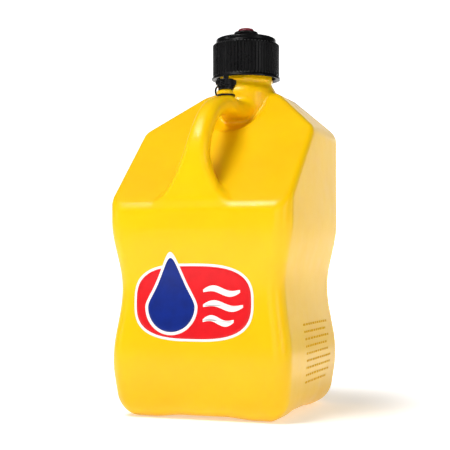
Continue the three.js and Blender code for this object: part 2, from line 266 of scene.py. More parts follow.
JUG_MIDDLE = (0, 0, 0.27)
SHOULDER = (0, 0, 0.35)
RIGHT_WALL = (0.1, 0.1, 0.3)
soft_lamp("key", (-0.45, -1.15, 2.0), JUG_MIDDLE, (0.8, 0.6), 26)
soft_lamp("spark", (-0.5, -1.32, 1.6), JUG_MIDDLE, (0.08, 0.08), 2)
soft_lamp("front_fill", (0.9, -2.4, 0.5), JUG_MIDDLE, (1.4, 0.9), 7)
soft_lamp("overhead", (-0.55, -0.6, 1.9), SHOULDER, (0.8, 0.5), 8)
soft_lamp("left_strip", (-1.5, -0.8, 0.75), JUG_MIDDLE, (0.08, 1.1), 3)
soft_lamp("right_side", (1.9, -0.8, 0.7), JUG_MIDDLE, (0.8, 1.0), 8)
soft_lamp("right_back", (0.22, 1.9, 0.3), RIGHT_WALL, (0.16, 0.8), 5)

ROOM_LIGHT = 0.08        # the room's strength as a light
ROOM_SEEN = 0.95         # its strength where the camera sees it
world = bpy.data.worlds.new("white_room")
world.use_nodes = True
room = world.node_tree
seen = room.nodes.new("ShaderNodeLightPath").outputs["Is Camera Ray"]
level = room.nodes.new("ShaderNodeMapRange")
level.inputs["To Min"].default_value = ROOM_LIGHT
level.inputs["To Max"].default_value = ROOM_SEEN
room.links.new(seen, level.inputs["Value"])
room.nodes["Background"].inputs["Color"].default_value = (1, 1, 1, 1)
room.links.new(level.outputs["Result"], room.nodes["Background"].inputs["Strength"])
bpy.context.scene.world = world


# %% [markdown]
# ## Finishes
#
# Each material starts from what the real one is. Colours are written as the hex values a
# designer would pick, and one function turns them into Blender's linear values. One small
# function adds a node, sets its values and links its inputs.


# %% Material helpers
def to_linear(hex_colour):
    """sRGB hex to linear RGBA: small values divide by 12.92, others follow the 2.4 power law."""
    channels = [int(hex_colour[i:i + 2], 16) / 255 for i in (1, 3, 5)]
    linear = [c / 12.92 if c <= 0.04045 else ((c + 0.055) / 1.055) ** 2.4 for c in channels]
    return (*linear, 1.0)


def add_node(tree, kind, values=None, links=None, **settings):
    """A node of that kind, with its settings, socket values and incoming links."""
    node = tree.nodes.new(kind)
    for key, value in settings.items():
        setattr(node, key, value)
    for socket, value in (values or {}).items():
        node.inputs[socket].default_value = value
    for socket, source in (links or {}).items():
        tree.links.new(source, node.inputs[socket])
    return node


def new_material(name, **sockets):
    """A material with one shader, whose uniform values are set on its own sockets."""
    material = bpy.data.materials.new(name)
    material.use_nodes = True
    tree = material.node_tree
    shader = tree.nodes["Principled BSDF"]
    for socket, value in sockets.items():
        shader.inputs[socket.replace("_", " ")].default_value = value
    coordinates = add_node(tree, "ShaderNodeTexCoord").outputs["Object"]
    return material, tree, shader, coordinates


def noise(tree, coordinates, size_mm, detail):
    """Noise whose blobs are about size_mm across, with that many finer layers in it."""
    return add_node(tree, "ShaderNodeTexNoise", {"Scale": 1000 / size_mm, "Detail": detail},
                    {"Vector": coordinates}).outputs["Fac"]


def mapped(tree, value, low, high):
    """Noise, which mostly stays between 0.3 and 0.7, spread from low to high."""
    return add_node(tree, "ShaderNodeMapRange", {"From Min": 0.3, "From Max": 0.7,
                    "To Min": low, "To Max": high}, {"Value": value}).outputs["Result"]


def tinted(tree, factor, first, second):
    """A colour between two hex colours."""
    mix = add_node(tree, "ShaderNodeMix", links={"Factor": factor}, data_type="RGBA")
    mix.inputs["A"].default_value = to_linear(first)
    mix.inputs["B"].default_value = to_linear(second)
    return mix.outputs["Result"]


def bumped(tree, shader, height, distance_mm):
    """Bump of that many millimetres from a height between 0 and 1."""
    bump = add_node(tree, "ShaderNodeBump", {"Distance": distance_mm * MM}, {"Height": height})
    tree.links.new(bump.outputs["Normal"], shader.inputs["Normal"])


# %% [markdown]
# **High-density polyethylene, blow moulded.** The wall is pigmented right through and lets a
# little light wander inside, which keeps its shaded side warm. Blown against a grit-blasted
# mould, it has a satin skin with a very fine pebble (drawn about 1 mm, coarser than real, so
# that it shows) over slow waves a few centimetres long where the wall cooled unevenly.

# %% Polyethylene
jug_plastic, tree, shader, here = new_material(
    "blow_moulded_polyethylene", Roughness=0.36, IOR=1.51, Subsurface_Weight=0.22,
    Subsurface_Radius=(1.0, 0.45, 0.05), Subsurface_Scale=0.006, Specular_IOR_Level=0.18,
    Coat_Weight=0.2, Coat_Roughness=0.13, Coat_IOR=1.45)
pigment = noise(tree, here, 70, 3)
tree.links.new(tinted(tree, mapped(tree, pigment, 0, 1), "#EEBA00", "#F2C000"),
               shader.inputs["Base Color"])
tree.links.new(mapped(tree, noise(tree, here, 25, 3), 0.33, 0.40), shader.inputs["Roughness"])
waves = add_node(tree, "ShaderNodeMath", {1: 0.85}, {0: noise(tree, here, 45, 1)}, operation="MULTIPLY")
pebble = add_node(tree, "ShaderNodeMath", {1: 0.05}, {0: noise(tree, here, 1.1, 2)}, operation="MULTIPLY")
relief = add_node(tree, "ShaderNodeMath", links={0: waves.outputs[0], 1: pebble.outputs[0]},
                  operation="ADD")
bumped(tree, shader, relief.outputs[0], 0.35)

# %% [markdown]
# ** The same polyethylene, off an etched patch of the mould.** The raised rows on the side wall
# come out matt, so they keep their yellow where the smooth wall round them mirrors the room.
# Their yellow is darker than the wall's: painted shade, for the shade that the raised rows fall in.

# %% Matt polyethylene, with painted shade
matt_plastic_painted_shade, tree, shader, here = new_material(
    "etched_polyethylene_painted_shade", Roughness=0.8, IOR=1.51, Specular_IOR_Level=0.1)
# A darker yellow than the wall's: painted shade on the raised rows.
tree.links.new(tinted(tree, mapped(tree, noise(tree, here, 8, 3), 0, 1), "#D99C00", "#E0A600"),
               shader.inputs["Base Color"])
bumped(tree, shader, noise(tree, here, 0.8, 2), 0.04)

# %% [markdown]
# **Polypropylene, injection moulded black.** The caps come from a polished but well-used mould:
# a satin black with a fine spark-eroded grain, and slightly duller patches from handling.

# %% Polypropylene
cap_plastic, tree, shader, here = new_material(
    "injection_moulded_polypropylene", Roughness=0.28, IOR=1.49, Specular_IOR_Level=0.2)
tree.links.new(tinted(tree, mapped(tree, noise(tree, here, 18, 4), 0, 1), "#030304", "#060607"),
               shader.inputs["Base Color"])
tree.links.new(mapped(tree, noise(tree, here, 12, 4), 0.24, 0.34), shader.inputs["Roughness"])
bumped(tree, shader, noise(tree, here, 0.7, 3), 0.03)

# %% [markdown]
# **Nitrile rubber, compression moulded.** The seals are matt, nearly black and slightly grey
# where they bloom. **Dyed polypropylene, gloss moulded** makes the dark red stopper, the one
# glossy piece on the caps.

# %% Rubber and the red stopper
seal_rubber, tree, shader, here = new_material("moulded_nitrile_rubber", Roughness=0.75, IOR=1.52)
tree.links.new(tinted(tree, mapped(tree, noise(tree, here, 6, 4), 0, 1), "#161617", "#262627"),
               shader.inputs["Base Color"])
bumped(tree, shader, noise(tree, here, 0.5, 2), 0.03)

plug_plastic, tree, shader, here = new_material(
    "gloss_moulded_red_polypropylene", Roughness=0.28, IOR=1.49, Coat_Weight=0.15, Coat_Roughness=0.15)
tree.links.new(tinted(tree, mapped(tree, noise(tree, here, 9, 3), 0, 1), "#5E0A1A", "#7A1024"),
               shader.inputs["Base Color"])
bumped(tree, shader, noise(tree, here, 2.5, 2), 0.03)


# %% [markdown]
# **Vinyl film, screen printed.** Each ink lies flat and even, and the film follows the wall's
# satin. A faint dot-free mottle and a slow ripple show that it is stuck to a blown wall.


# %% Printed inks
def ink(name, hex_colour, darker):
    """One printed ink on the vinyl film."""
    material, tree, shader, here = new_material(name, Roughness=0.36, IOR=1.5, Specular_IOR_Level=0.25)
    mottle = mapped(tree, noise(tree, here, 14, 4), 0, 1)
    tree.links.new(tinted(tree, mottle, hex_colour, darker), shader.inputs["Base Color"])
    bumped(tree, shader, noise(tree, here, 30, 1), 0.12)
    return material


white_ink = ink("white_screen_ink", "#FBF5F2", "#F4EDEB")
red_ink = ink("red_screen_ink", "#DE131C", "#D30F18")
blue_ink = ink("blue_screen_ink", "#03247F", "#021E70")
print("finishes:", [m.name for m in (jug_plastic, matt_plastic_painted_shade, cap_plastic, seal_rubber, plug_plastic,
                                     white_ink, red_ink, blue_ink)])


def dress(piece, material, body, slot, *replaced):
    """Gives a new piece its material and its body, and hides the frame nodes that it stands for. Its slot is
    not used.
    """
    piece.data.materials.clear()
    piece.data.materials.append(material)
    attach(piece, body)
    if replaced:
        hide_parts(*replaced)
    faces = len(piece.data.polygons)
    print(f"{piece.name}: {faces} faces on {body}")


# %% [markdown]
# ## The moulded body as a field
#
# A blow-moulded jug has no sharp line anywhere: walls, roof panels, handle and neck all melt
# into each other. That is hard to patch together from separate grids, because the finger gap
# goes right through. So the jug is described as a field: for any point in space, a formula says
# how far it is outside the skin. Planes and curved walls are combined with rounded joins, and
# the skin is where the field is zero.
#
# Lengths here are the mould's own: the lip where the front wall turns into the shoulder, the
# eaves where the side walls turn into the roofs, and the waist that pulls all four walls in.

# %% The mould's dimensions
LIP_Z = 277
SHOULDER_RUN = 1.121
EAVE_Z = 387
ROOF_RISE = 0.836
TOP_Z = 450
CORNER_R = 22            # upright corners
FLOOR_R = 30             # rounding round the base
HIP_R = 4.5              # ridge between the shoulder and a roof panel
LID_R = 9                # edge of the flat top
EAVE_R = 7               # lip and eaves
ARCH_RISE = 3            # how far the base's middle is pushed up
WALL = 3.5
SIDE_PULL = [(0, 9), (75, 2), (170, 12.5), (262, 0)]
FRONT_PULL = [(0, 8), (75, 2), (165, 7), (255, 0)]


def eased(stations, z):
    """Smooth travel between [height, value] stations, level at each: half a cosine per stretch."""
    heights = np.array([s[0] for s in stations], dtype=float)
    values = np.array([s[1] for s in stations], dtype=float)
    z = np.clip(z, heights[0], heights[-1])
    i = np.clip(np.searchsorted(heights, z, side="right") - 1, 0, len(heights) - 2)
    t = (z - heights[i]) / (heights[i + 1] - heights[i])
    return values[i] + (values[i + 1] - values[i]) * (1 - np.cos(np.pi * t)) / 2


print("waist: sides in by", SIDE_PULL[2][1], "mm, front and back by", FRONT_PULL[2][1], "mm")


def side_wall(z):
    """Half width of the jug at height z, before the floor is rounded."""
    return HALF_W - eased(SIDE_PULL, z)


def front_wall(z):
    """The front wall's y at height z, before the floor is rounded."""
    return FRONT_Y + eased(FRONT_PULL, z)


# %% Rounded joins between fields
def rounded_and(a, b, r):
    """Inside both fields. Where both are within r of the skin, the skin is a quarter circle."""
    corner = np.hypot(np.maximum(a + r, 0), np.maximum(b + r, 0))
    return np.minimum(np.maximum(a, b), -r) + corner


def melted_or(a, b, k):
    """Inside either field. Where they are within k of each other, the skin swells to fill the
    corner by up to a quarter of k, as a parabola."""
    near = np.maximum(k - np.abs(a - b), 0) / k
    return np.minimum(a, b) - near * near * k / 4


def melted_cut(a, b, k):
    """The first field less the second, with the cut's edge eased in the same way."""
    return -melted_or(-a, b, k)


# %% Walls, shoulders, roofs and base
def body_field(x, y, z):
    """The box of waisted walls, trimmed by the sloping shoulder, two roof panels and a flat top,
    and rounded into the floor, which is pushed up a little except at its four corners."""
    x = np.abs(x)
    sides = x - side_wall(z)
    ends = np.maximum(front_wall(z) - y, y + front_wall(z))
    walls = rounded_and(sides, ends, CORNER_R)
    shoulder = ((z - LIP_Z) - (y - FRONT_Y) / SHOULDER_RUN) / math.hypot(1, 1 / SHOULDER_RUN)
    roof = ((z - EAVE_Z) + (x - HALF_W) * ROOF_RISE) / math.hypot(1, ROOF_RISE)
    lid = rounded_and(rounded_and(shoulder, roof, HIP_R), z - TOP_Z, LID_R)
    body = rounded_and(walls, lid, EAVE_R)
    arch = ARCH_RISE * np.maximum(1 - eased_step(x, 30, 70), 1 - eased_step(np.abs(y), 35, 78))
    return rounded_and(body, arch - z, FLOOR_R)


def turned_field(x, y, z, axis_y, profile):
    """A post round an upright axis whose radius follows [height, radius] stations, cut at the
    first and last height."""
    heights, radii = np.array(profile, dtype=float).T
    radius = np.interp(z, heights, radii)
    post = (np.hypot(x, y - axis_y) - radius) * 0.9
    return rounded_and(post, np.maximum(heights[0] - z, z - heights[-1]), 0.8)


def egg_field(x, y, z, centre, sizes, tilt):
    """An egg with three half lengths, leaning back by tilt: its scaled distance from the centre,
    less one, times its size there."""
    along = (y - centre[1]) * math.cos(tilt) + (z - centre[2]) * math.sin(tilt)
    out = -(y - centre[1]) * math.sin(tilt) + (z - centre[2]) * math.cos(tilt)
    parts = [(x - centre[0]) / sizes[0], along / sizes[1], out / sizes[2]]
    scaled = np.sqrt(sum(p * p for p in parts))
    steep = np.sqrt(sum((p / s) ** 2 for p, s in zip(parts, sizes)))
    return scaled * (scaled - 1) / np.maximum(steep, 1e-6)


# %% [markdown]
# The handle is a bar whose rounded-box section is carried up a curved line in the jug's middle
# plane. Its foot spreads wide and flush into the front wall, it narrows to a hand's grip, bends
# back over the fingers, and swells again into the vent spout and the neck.

# %% The handle's line and section
# depth behind the front wall, height, sideways place, half width, half thickness
HANDLE = np.array([
    (19, 252, -7, 66, 13), (17.5, 280, -7, 52, 13), (17, 297, -7, 38.5, 13), (17, 312, -6.5, 29.5, 13),
    (17, 328, -6, 22.5, 13), (18, 347, -4, 17, 13), (25, 370, -1.5, 14.2, 13), (43, 394, 0, 13.5, 12.5),
    (64, 408, 0, 13.5, 12.5), (90, 417, 0, 14, 12.5), (121, 419.5, 0, 16, 12.5), (150, 419.5, 0, 19, 13),
    (186, 421, 0, 26, 14)], dtype=float)
EDGE_R = 10.5            # rounding of the section's corners


def smooth_line(stations, count):
    """Catmull-Rom: between two stations each value follows the cubic whose slope at a station is
    half the step between its neighbours."""
    padded = np.vstack([2 * stations[0] - stations[1], stations, 2 * stations[-1] - stations[-2]])
    t = np.linspace(0, len(stations) - 1 - 1e-9, count)
    i, u = t.astype(int), (t % 1)[:, None]
    p0, p1, p2, p3 = padded[i], padded[i + 1], padded[i + 2], padded[i + 3]
    return 0.5 * (2 * p1 + (p2 - p0) * u + (2 * p0 - 5 * p1 + 4 * p2 - p3) * u ** 2
                  + (3 * p1 - p0 - 3 * p2 + p3) * u ** 3)


handle_line = smooth_line(HANDLE, 160)
line_y, line_z = handle_line[:, 0] + FRONT_Y, handle_line[:, 1]
run = np.stack([np.gradient(line_y), np.gradient(line_z)], 1)
step_length = np.linalg.norm(run, axis=1, keepdims=True)
run /= step_length
print("the handle's line is", round(step_length.sum()), "mm long")


def handle_field(x, y, z):
    """Distance to the bar: the nearest point of the line gives the section's place and size, and
    the section is a box rounded at its corners."""
    y, z = np.broadcast_arrays(y, z)
    away = (y[..., None] - line_y) ** 2 + (z[..., None] - line_z) ** 2
    i = away.argmin(-1)
    dy, dz = y - line_y[i], z - line_z[i]
    along = dy * run[i, 0] + dz * run[i, 1]
    out = dy * run[i, 1] - dz * run[i, 0]
    where = i + along / step_length[i, 0]
    index = np.arange(len(handle_line))
    aside, wide, thick = (np.interp(where, index, handle_line[:, k]) for k in (2, 3, 4))
    edge = np.minimum(EDGE_R, thick - 0.5)
    qx, qt = np.abs(x - aside) - wide + edge, np.abs(out) - thick + edge
    bar = np.hypot(np.maximum(qx, 0), np.maximum(qt, 0)) + np.minimum(np.maximum(qx, qt), 0) - edge
    past = np.where(i == 0, -along, np.where(i == len(index) - 1, along, -50))
    return np.maximum(bar, past)


# %% [markdown]
# The whole outer skin: the body, less a scooped pocket for the fingertips under the neck, plus
# the handle, the neck with its transfer bead, and the collar of the vent spout.

# %% The jug's whole field
SHOULDER_TILT = math.atan2(1, SHOULDER_RUN)
POCKET_MIDDLE = (0, FRONT_Y + 172, 430)
POCKET_HALVES = (38, 60, 19)
POCKET_MELT, NECK_MELT, HANDLE_MELT, VENT_MELT = 12, 4, 8, 3
NECK_R = 38
NECK_PROFILE = [
    (400, 44.5), (446, 44.5), (450, 44), (453, 43), (456, 41.2), (458.5, 39.5), (461, 38.3),
    (463, NECK_R), (465.4, NECK_R), (466.6, 39.7), (468.6, 39.7), (469.8, NECK_R), (NECK_TOP, NECK_R)]
VENT_R = 7.2
VENT_PROFILE = [
    (412, 15.5), (428, 15.5), (431.5, 13.4), (433.5, 10.5), (442, 10.3), (442.4, VENT_R), (452.5, VENT_R)]


def jug_field(x, y, z):
    """Distance outside the jug's outer skin, in millimetres, negative inside."""
    body = body_field(x, y, z)
    body = melted_cut(body, egg_field(x, y, z, POCKET_MIDDLE, POCKET_HALVES, SHOULDER_TILT), POCKET_MELT)
    body = melted_or(body, turned_field(x, y, z, NECK_Y, NECK_PROFILE), NECK_MELT)
    body = melted_or(body, handle_field(x, y, z), HANDLE_MELT)
    body = melted_or(body, turned_field(x, y, z, VENT_Y, VENT_PROFILE), VENT_MELT)
    return np.maximum(body, FRONT_Y - y)


# %% [markdown]
# The field is sampled on a fine grid of cells, and OpenVDB's mesher puts a quad skin where it
# crosses a chosen value. The grid only gives the skin's layout: the corners are then evened out
# with their neighbours and moved back onto the exact skin along the field's slope, a few times,
# so that highlights run over it without ripples.


# %% From field to skin
SLOPE_REACH = 0.25       # half the distance between the two samples that give a slope
KEEP = 0.4               # share of its own place that a corner keeps as it is evened out


def field_slope(field, points):
    """The field's value and slope at each point, from samples a little to either side."""
    value = field(*points.T)
    slope = np.empty_like(points)
    for axis in range(3):
        nudge = np.zeros(3)
        nudge[axis] = SLOPE_REACH
        slope[:, axis] = (field(*(points + nudge).T) - field(*(points - nudge).T)) / (2 * SLOPE_REACH)
    return value, slope


def skin(field, low, high, cell, level=0.0, rounds=3):
    """Points and quads where the field equals level, inside the box from low to high."""
    axes = [np.arange(low[k] - 2 * cell, high[k] + 3 * cell, cell) for k in range(3)]
    x, y, z = (a.reshape([-1 if k == i else 1 for k in range(3)]) for i, a in enumerate(axes))
    samples = np.asarray(np.broadcast_to(field(x, y, z), [len(a) for a in axes]), dtype=np.float32)
    grid = openvdb.FloatGrid(100.0)
    grid.copyFromArray(np.ascontiguousarray(np.clip(samples - level, -3 * cell, 3 * cell)))
    points, quads = grid.convertToQuads(0.0)
    points = np.asarray(points, dtype=float) * cell + [a[0] for a in axes]
    quads = np.asarray(quads, dtype=np.int64)
    ends = np.concatenate([quads[:, [k, (k + 1) % 4]] for k in range(4)])
    shares = np.bincount(ends[:, 0], minlength=len(points))[:, None]
    for _ in range(rounds):
        sums = [np.bincount(ends[:, 0], points[ends[:, 1], k], len(points)) for k in range(3)]
        points = KEEP * points + (1 - KEEP) * np.stack(sums, 1) / shares
        for _ in range(2):
            value, slope = field_slope(field, points)
            pull = (value - level) / np.maximum((slope ** 2).sum(1), 0.2)
            points = points - np.clip(pull, -2, 2)[:, None] * slope
    return points, quads


SKIN_CELL = 3.0
HOLLOW_CELL = 5.5
jug_box = (tank_low, tank_high)
outer_points, outer_quads = skin(jug_field, *jug_box, SKIN_CELL)
outer_points = np.clip(outer_points, tank_low, tank_high)
tank = mesh_object("jug_shell", outer_points, outer_quads)
hollow_points, hollow_quads = skin(jug_field, *jug_box, HOLLOW_CELL, level=-WALL, rounds=2)
hollow = mesh_object("jug_hollow", hollow_points, hollow_quads)
print("outer skin", len(outer_quads), "quads, hollow", len(hollow_quads), "quads")

# %% [markdown]
# The hollow, the neck's bore and the vent's bore are taken out of the solid with Boolean
# modifiers, so the jug ends as one closed shell with a real wall, open at both spouts.


# %% Hollow the jug out
def plain_post(name, radius, low, high, y, segments):
    """A straight round post with closed ends, used as a drill."""
    side = np.array([(radius, low), (radius, high)], dtype=float)
    return grid_object(name, turned_grid(side, segments, y))


def bore_out(piece, tools):
    """Cuts each tool out of the piece, applies the cuts and removes the tools."""
    for tool in tools:
        cut = piece.modifiers.new("cut", "BOOLEAN")
        cut.operation = "DIFFERENCE"
        cut.solver = "MANIFOLD"
        cut.object = tool
    bpy.context.view_layer.update()
    done = bpy.data.meshes.new_from_object(piece.evaluated_get(bpy.context.evaluated_depsgraph_get()))
    piece.modifiers.clear()
    piece.data = done
    for tool in tools:
        bpy.data.objects.remove(tool)


NECK_BORE_R = 34.6
VENT_BORE_R = 4.6
bore_out(tank, [
    hollow,
    plain_post("neck_drill", NECK_BORE_R, 425, NECK_TOP + 20, NECK_Y, RING_STEPS),
    plain_post("vent_drill", VENT_BORE_R, 417, 470, VENT_Y, 32)])
tank.data.shade_smooth()
tank.data.set_sharp_from_angle(angle=math.radians(50))
dress(tank, jug_plastic, "root", "jug_polyethylene", "tank_body")

# %% [markdown]
# The screw threads are too fine for the field's cells, so each is a ridge of its own, carried
# up its helix and sunk half a millimetre into the spout.

# %% Spout threads
THREAD_LEAD = 8
VENT_LEAD = 3
neck_thread = thread("neck_thread", NECK_Y, 480, THREAD_LEAD, 2, NECK_R, 41.3, 3)
dress(neck_thread, jug_plastic, "root", "jug_polyethylene")
vent_thread = thread("vent_thread", VENT_Y, 445, VENT_LEAD, 1.5, VENT_R, 8.2, 1.2)
dress(vent_thread, jug_plastic, "root", "jug_polyethylene")

# %% [markdown]
# Low on the right-hand wall the mould leaves nine rows of short raised dashes. Each is a grid
# laid on the waisted wall: along the row it is a pill shape, and it stands proud by the square
# root of its distance from the pill's edge, so its rim is round.

# %% Raised rows on the side wall
ROWS = 9
ROW_LOW_Z, ROW_HIGH_Z = 45, 121
ROW_START, ROW_END = FRONT_Y + 92, FRONT_Y + 220
DASH_HEIGHT = 3.2
DASH_STAND = 0.75        # how far a dash stands proud
DASH_SUNK = 0.35         # how far its rim lies under the wall's skin
DASH_DEPTH = 1.2
DASH_GAP = 2
chance = np.random.default_rng(7)


def dash(y0, y1, z):
    """One raised dash from y0 to y1 along the wall at height z: an 11 by 7 grid whose rim is sunk
    a little below the wall's skin."""
    u = np.linspace(-1, 1, 11)[:, None]
    v = np.linspace(-1, 1, 7)[None, :]
    half = DASH_HEIGHT / 2
    straight = (y1 - y0) / 2 - half
    heights = z + half * np.sin(v * np.pi / 2)
    y = (y0 + y1) / 2 + straight * u + half * np.sign(u) * np.cos(v * np.pi / 2) * np.abs(u) ** 3
    rise = DASH_STAND * np.sqrt(np.clip(1 - np.abs(v) ** 4, 0, 1) * np.clip(1 - np.abs(u) ** 8, 0, 1))
    x = side_wall(heights) + rise - DASH_SUNK
    return np.stack([x + 0 * y, y, heights + 0 * y], -1)


def solid_dash(top):
    """The dash's grid and a copy of it deeper in the wall, joined round the edge."""
    rows, columns = top.shape[:2]
    under = top - [DASH_DEPTH, 0, 0]
    points = np.vstack([top.reshape(-1, 3), under.reshape(-1, 3)])
    face = grid_faces(rows, columns, False, False)
    count = rows * columns
    index = np.arange(count).reshape(rows, columns)
    rim = np.concatenate([index[0, :-1], index[:-1, -1], index[-1, :0:-1], index[:0:-1, 0]])
    following = np.roll(rim, -1)
    wall = np.stack([rim, following, following + count, rim + count], -1)
    return points, np.vstack([face[:, ::-1], face + count, wall])


dash_points, dash_quads, total = [], [], 0
for row in range(ROWS):
    z = ROW_LOW_Z + (ROW_HIGH_Z - ROW_LOW_Z) * row / (ROWS - 1)
    y = ROW_START
    row_end = ROW_END - chance.uniform(0, 26)
    while y < row_end - 6:
        length = min(chance.uniform(4.2, 13), row_end - y)
        points, quads = solid_dash(dash(y, y + length, z))
        dash_points.append(points)
        dash_quads.append(quads + total)
        total += len(points)
        y += length + DASH_GAP
rows_piece = mesh_object("side_rows", np.vstack(dash_points), np.vstack(dash_quads))
dress(rows_piece, matt_plastic_painted_shade, "root", "jug_polyethylene")

# %% [markdown]
# ## The filler cap
#
# One turned profile goes down the outside, under the rim and up inside the bore, and closes on
# itself round the port hole. Sixty grip ribs stand out between the rim and the shoulder.

# %% Filler cap
CAP_RIBS = 60
RIB_HEIGHT = 1.5
RIB_SHARE = 0.25         # share of a rib's height that lies below the skin, as its groove
RIB_LOW, RIB_HIGH = CAP_RIM_Z + 4.5, 521.5
CAP_PLATE_Z = 525.7
CAP_BORE_R = 43
PORT_R = 9.4
cap_profile = [
    (PORT_R, CAP_TOP_Z), (22, CAP_TOP_Z), (40.5, 531.2), (43.7, 529.4), (43.7, 524), (46.6, 522.3),
    (47.6, 520.5), (47.4, 500), (47.4, 478), (47.8, 474.6), (50.1, 472.8), (50.1, CAP_RIM_Z),
    (47, CAP_RIM_Z), (43.6, CAP_RIM_Z + 1.6), (CAP_BORE_R, 474), (CAP_BORE_R, 500),
    (CAP_BORE_R, CAP_PLATE_Z), (26, CAP_PLATE_Z), (PORT_R, CAP_PLATE_Z)]


def cap_ribs(angle, radius, height):
    """Ribs on the outside skin only, dying away at the shoulder and at the rim."""
    on_skin = (radius > 45) * (radius < 49.5)
    start = eased_step(height, RIB_LOW, RIB_LOW + 2)
    finish = 1 - eased_step(height, RIB_HIGH - 1.5, RIB_HIGH + 1.2)
    return RIB_HEIGHT * on_skin * start * finish * (rib_wave(angle, CAP_RIBS) - RIB_SHARE)


def filled(profile, longest):
    """The closed outline with more points, none further apart than longest."""
    corners = np.vstack([profile, profile[:1]])
    parts = []
    for a, b in zip(corners[:-1], corners[1:]):
        count = max(1, int(np.ceil(np.linalg.norm(b - a) / longest)))
        parts.append(a + (b - a) * (np.arange(count) / count)[:, None])
    return np.vstack(parts)


cap_outline = filled(softened(cap_profile, 0.9, 3), 7)
cap_grid = turned_grid(cap_outline, CAP_RIBS * 12, NECK_Y, cap_ribs)
cap = grid_object("ribbed_filler_cap", cap_grid, close_rows=True)
dress(cap, cap_plastic, "filler_cap", "cap_polypropylene", "filler_cap")
cap_thread = thread("cap_thread", NECK_Y, 484, THREAD_LEAD, 2, CAP_BORE_R, 40, 3)
dress(cap_thread, cap_plastic, "filler_cap", "cap_polypropylene")

# %% [markdown]
# The hose port: a flanged bushing through the cap's middle, and a stopper with a low dome and a
# rim to pull it by. Both are plain turned shapes.

# %% Hose port
bushing_profile = [
    (7.9, 512.2), (8.9, 512.2), (8.9, 533.9), (15, 533.9), (15.2, 536.6), (17.5, 537.3), (17.5, 540),
    (16.2, 541), (7.9, 541)]
bushing = turned("port_bushing", bushing_profile, NECK_Y, 0.7)
dress(bushing, cap_plastic, "filler_cap", "cap_polypropylene", "hose_bushing")
plug_low, plug_high = node_box("port_plug")
plug_profile = softened([
    (0.02, plug_low[2]), (6, plug_low[2]), (7.3, 521), (7.3, 541.4), (11.8, 541.4), (11.8, 543.3),
    (10.2, 545.4), (6.4, 546.5), (0.02, plug_high[2])], 0.6, 5)
plug = grid_object("red_port_plug", turned_grid(plug_profile, 72, NECK_Y), close_rows=True)
dress(plug, plug_plastic, "port_plug", "plug_plastic", "port_plug")

# %% [markdown]
# ## The vent cap and its tether
#
# The little cap has fine grip ribs, two finger wings to turn it by, and a knob on top. The wings
# are a push too: the radius swells where the angle is near their line.

# %% Vent cap
VENT_SHELF = 449.8
VENT_PLATE = 454.6
VENT_CAP_BORE_R = 8.9
VENT_RIBS = 18
DRUM_R = 11
WING_TURN = 0.34
WING_REACH = 14.4
vent_profile = [
    (1, 464.5), (3, 464.5), (3.8, 463.7), (3.8, 458.4), (5, 458), (10.5, 458), (DRUM_R, 457),
    (DRUM_R, VENT_SHELF + 0.2), (10.6, VENT_SHELF - 0.4), (10.6, 443.1), (VENT_CAP_BORE_R, 443.1),
    (VENT_CAP_BORE_R, VENT_PLATE), (1, VENT_PLATE)]


def vent_push(angle, radius, height):
    """Grip ribs on the drum and the skirt, and two wings on the drum only."""
    drum = (radius > 10.9) * eased_step(height, VENT_SHELF, VENT_SHELF + 0.6)
    drum = drum * (1 - eased_step(height, 456.4, 457.4))
    skirt = (radius > 10.3) * (height < VENT_SHELF) * eased_step(height, 443.2, 444)
    wing = 1 - eased_step(np.abs(np.sin(angle - WING_TURN)), 0.15, 0.24)
    reach = WING_REACH / np.maximum(np.abs(np.cos(angle - WING_TURN)), 0.9) - DRUM_R
    ribs = (0.45 * drum * (1 - wing) + 0.25 * skirt) * rib_wave(angle, VENT_RIBS)
    return ribs + drum * wing * reach


vent_outline = filled(softened(vent_profile, 0.5, 3), 1.2)
vent_grid = turned_grid(vent_outline, 360, VENT_Y, vent_push)
vent_cap = grid_object("ribbed_vent_cap", vent_grid, close_rows=True)
dress(vent_cap, cap_plastic, "vent_cap", "cap_polypropylene", "vent_cap")
vent_cap_thread = thread("vent_cap_thread", VENT_Y, 446.5, VENT_LEAD, 1.5, VENT_CAP_BORE_R, 7.9, 1.2)
dress(vent_cap_thread, cap_plastic, "vent_cap", "cap_polypropylene")

# %% [markdown]
# The tether is one soft moulding: a ring round the spout, a strap bowed out on the left, and a
# ring round the cap's skirt.


# %% Tether
def rounded_strap(route, wide, thick, rows):
    """A flat strap: a superellipse section, wide across the route and thin along its normal,
    carried along a smooth line in the upright plane through the vent's axis."""
    line = smooth_line(np.array(route, dtype=float), rows)
    run = np.gradient(line, axis=0)
    run /= np.linalg.norm(run, axis=1, keepdims=True)
    around = np.linspace(0, 2 * np.pi, 20, endpoint=False)[None, :]
    across = wide / 2 * np.sign(np.cos(around)) * np.abs(np.cos(around)) ** 0.5
    out = thick / 2 * np.sign(np.sin(around)) * np.abs(np.sin(around)) ** 0.7
    x = line[:, :1] - run[:, 1:] * out
    z = line[:, 1:] + run[:, :1] * out
    return np.stack([x, VENT_Y + across + 0 * x, z], -1)


RING_HEIGHT = 2.4


def tether_ring(name, inner, outer, low):
    """A ring of the tether round the vent's axis, from its inner to its outer radius."""
    high = low + RING_HEIGHT
    return turned(name, [(inner, low), (outer, low), (outer, high), (inner, high)], VENT_Y, 0.5)


